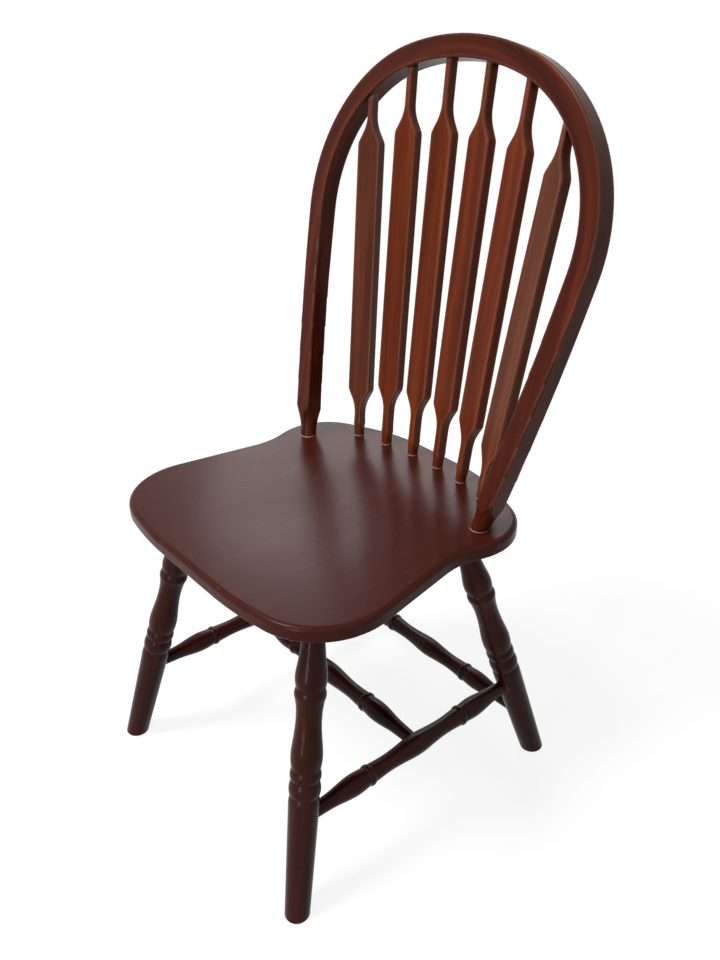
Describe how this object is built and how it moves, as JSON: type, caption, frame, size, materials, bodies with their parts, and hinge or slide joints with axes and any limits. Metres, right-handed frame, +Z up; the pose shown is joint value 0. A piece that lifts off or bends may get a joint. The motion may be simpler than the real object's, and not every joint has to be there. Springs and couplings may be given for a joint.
{
  "type": "windsor side chair",
  "caption": "Armless dining chair: shaped plank seat on splayed turned legs tied by turned stretchers, with a bent hoop back filled by flat arrow-shaped slats.",
  "frame": {"origin": "on the floor, below the middle of the chair's whole extent", "axes": "+Z up, -Y the way a sitter faces, +X to the sitter's left"},
  "size_m": [0.5386, 0.5494, 1.0417],
  "materials": {
    "hoop_wood": "dark mahogany stain under satin lacquer",
    "seat_wood": "dark mahogany stain under satin lacquer",
    "slat_wood": "dark mahogany stain under satin lacquer",
    "turned_wood": "dark mahogany stain under satin lacquer"
  },
  "bodies": {
    "root": {"cross_stretcher": "turned_wood", "hoop": "hoop_wood", "leg_front_left": "turned_wood", "leg_front_right": "turned_wood", "leg_rear_left": "turned_wood", "leg_rear_right": "turned_wood", "rear_stretcher": "turned_wood", "seat": "seat_wood", "side_stretcher_left": "turned_wood", "side_stretcher_right": "turned_wood", "slat_1": "slat_wood", "slat_2": "slat_wood", "slat_3": "slat_wood", "slat_4": "slat_wood", "slat_5": "slat_wood", "slat_6": "slat_wood"}
  },
  "joints": []
}
